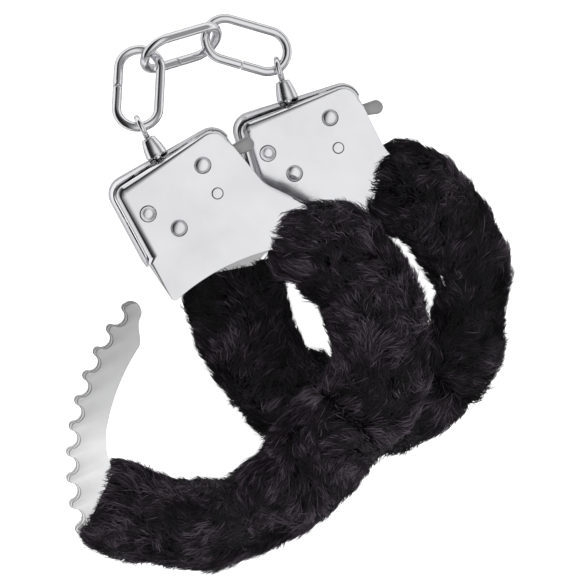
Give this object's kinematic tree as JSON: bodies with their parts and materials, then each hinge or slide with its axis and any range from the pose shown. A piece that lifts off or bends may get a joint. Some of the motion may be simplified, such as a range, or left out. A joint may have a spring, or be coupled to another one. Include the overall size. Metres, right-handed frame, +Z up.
{
  "type": "fur-covered handcuffs",
  "caption": "Ratchet handcuffs with plush fur sleeves, quick-release levers and a short chain of oval links between two swivels.",
  "frame": {"origin": "centre of the bounding box's underside, on the table the cuffs lie on", "axes": "+Z up from the table, +Y towards the chain, +X towards the closed cuff"},
  "size_m": [0.1284, 0.1528, 0.0428],
  "materials": {
    "steel": "polished nickel plate",
    "arm_steel": "polished nickel plate",
    "plain_steel": "plain steel",
    "lever_metal": "matt cast metal",
    "fur": "long-pile plush",
    "chain_wire": "plated wire"
  },
  "bodies": {
    "cuff_a": {"front_plate_a": "steel", "back_plate_a": "steel", "bow_fur_a": "fur", "hinge_rivet_a": "plain_steel", "rivet_left_a": "steel", "rivet_mid_a": "steel", "rivet_right_a": "steel", "pawl_stop_a": "steel", "pawl_spring_a": "plain_steel", "key_post_a": "plain_steel"},
    "jaw_a": {"arm_a": "arm_steel", "arm_fur_a": "fur"},
    "pawl_a": {"pawl_a": "plain_steel"},
    "lever_a": {"release_lever_a": "lever_metal"},
    "swivel_a": {"swivel_collar_a": "steel", "swivel_eye_a": "steel"},
    "cuff_b": {"front_plate_b": "steel", "back_plate_b": "steel", "bow_fur_b": "fur", "hinge_rivet_b": "plain_steel", "rivet_left_b": "steel", "rivet_mid_b": "steel", "rivet_right_b": "steel", "pawl_stop_b": "steel", "pawl_spring_b": "plain_steel", "key_post_b": "plain_steel"},
    "jaw_b": {"arm_b": "arm_steel", "arm_fur_b": "fur"},
    "pawl_b": {"pawl_b": "plain_steel"},
    "lever_b": {"release_lever_b": "lever_metal"},
    "swivel_b": {"swivel_collar_b": "steel", "swivel_eye_b": "steel"},
    "link_1": {"link_1": "chain_wire"},
    "link_2": {"link_2": "chain_wire"},
    "link_3": {"link_3": "chain_wire"}
  },
  "joints": [
    {"name": "jaw_a_hinge", "type": "hinge", "parent": "cuff_a", "child": "jaw_a", "pos_m": [0.00595, -0.04485, 0.0324], "axis": [0, 0, -1], "range_deg": [-36, 48.4]},
    {"name": "lever_a_press", "type": "hinge", "parent": "cuff_a", "child": "lever_a", "pos_m": [-0.0267, 0.03723, 0.0324], "axis": [0, 0, -1], "range_deg": [-11.2, 2.4]},
    {"name": "pawl_a_pivot", "type": "hinge", "parent": "cuff_a", "child": "pawl_a", "pos_m": [-0.03325, 0.01993, 0.0324], "axis": [0, 0, 1], "range_deg": [-14, 3]},
    {"name": "swivel_a_spin", "type": "hinge", "parent": "cuff_a", "child": "swivel_a", "pos_m": [-0.03921, 0.04009, 0.0324], "axis": [-0.4695, 0.8829, 0], "range_deg": [0, 36]},
    {"name": "link_1_swing", "type": "hinge", "parent": "swivel_a", "child": "link_1", "pos_m": [-0.0432, 0.04759, 0.0324], "axis": [0, 0, 1], "range_deg": [-8, 30]},
    {"name": "link_2_swing", "type": "hinge", "parent": "link_1", "child": "link_2", "pos_m": [-0.04246, 0.06747, 0.01909], "axis": [0.995, -0.0444, 0.09], "range_deg": [0, 40]},
    {"name": "link_3_swing", "type": "hinge", "parent": "link_2", "child": "link_3", "pos_m": [-0.02072, 0.06999, 0.01086], "axis": [0.1586, 0.7649, 0.6243], "range_deg": [0, 40]},
    {"name": "swivel_b_swing", "type": "hinge", "parent": "link_3", "child": "swivel_b", "pos_m": [-0.00323, 0.06096, 0.0104], "axis": [0, 0, 1], "range_deg": [0, 32]},
    {"name": "swivel_b_spin", "type": "hinge", "parent": "swivel_b", "child": "cuff_b", "pos_m": [-0.00089, 0.05279, 0.0104], "axis": [0.2756, -0.9613, 0], "range_deg": [0, 20]},
    {"name": "jaw_b_hinge", "type": "hinge", "parent": "cuff_b", "child": "jaw_b", "pos_m": [0.02563, -0.03969, 0.0104], "axis": [0, 0, -1], "range_deg": [-80, 4.2]},
    {"name": "lever_b_press", "type": "hinge", "parent": "cuff_b", "child": "lever_b", "pos_m": [0.01075, 0.04739, 0.0104], "axis": [0, 0, -1], "range_deg": [-11.2, 2.4]},
    {"name": "pawl_b_pivot", "type": "hinge", "parent": "cuff_b", "child": "pawl_b", "pos_m": [0.00075, 0.03183, 0.0104], "axis": [0, 0, 1], "range_deg": [-14, 3]}
  ],
  "couplings": [
    {"joint": "pawl_a_pivot", "follows": "lever_a_press", "ratio": 1.25},
    {"joint": "pawl_b_pivot", "follows": "lever_b_press", "ratio": 1.25}
  ]
}
